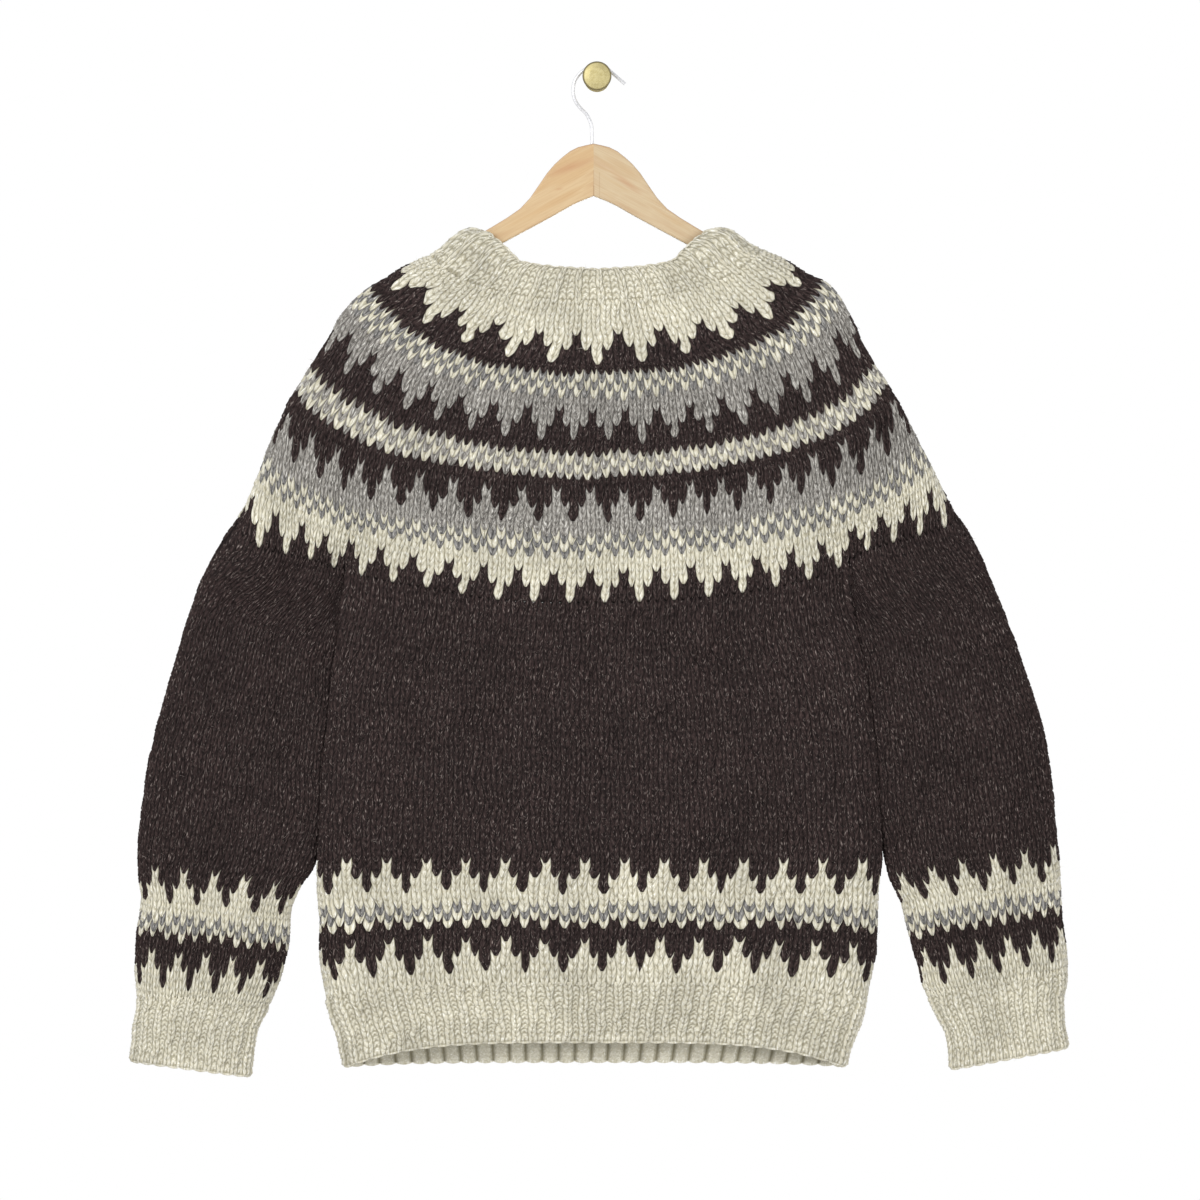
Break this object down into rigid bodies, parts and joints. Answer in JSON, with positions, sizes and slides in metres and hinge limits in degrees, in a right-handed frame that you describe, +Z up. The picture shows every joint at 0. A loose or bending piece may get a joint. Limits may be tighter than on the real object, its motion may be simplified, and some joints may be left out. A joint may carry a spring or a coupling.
{
  "type": "circular-yoke knitted sweater on a wooden hanger with a brass wall hook",
  "caption": "Hand-knit wool pullover with a patterned circular yoke and banded hem and cuffs, hanging flat on a wooden hanger from a round brass wall hook.",
  "frame": {"origin": "centre of the wall hook's foot, on the wall", "axes": "+Z up, +Y towards the wall, -Y is the garment's front, +X to the right seen from the front"},
  "size_m": [0.842, 0.0592, 0.909],
  "materials": {
    "cream_wool": "soft undyed cream wool with a short halo",
    "patterned_wool": "brown, two grays and cream wool in stranded bands",
    "brown_wool": "dark brown heathered wool",
    "beech": "clear satin lacquer over light beech",
    "steel_wire": "bright plated wire",
    "brass": "brushed face, polished rim"
  },
  "bodies": {
    "root": {"neckband": "cream_wool", "yoke": "patterned_wool", "body": "brown_wool", "hem_rib": "cream_wool", "sleeve_left": "brown_wool", "sleeve_right": "brown_wool", "cuff_left": "cream_wool", "cuff_right": "cream_wool", "hanger_wood": "beech", "hanger_hook": "steel_wire", "wall_hook": "brass"}
  },
  "joints": []
}
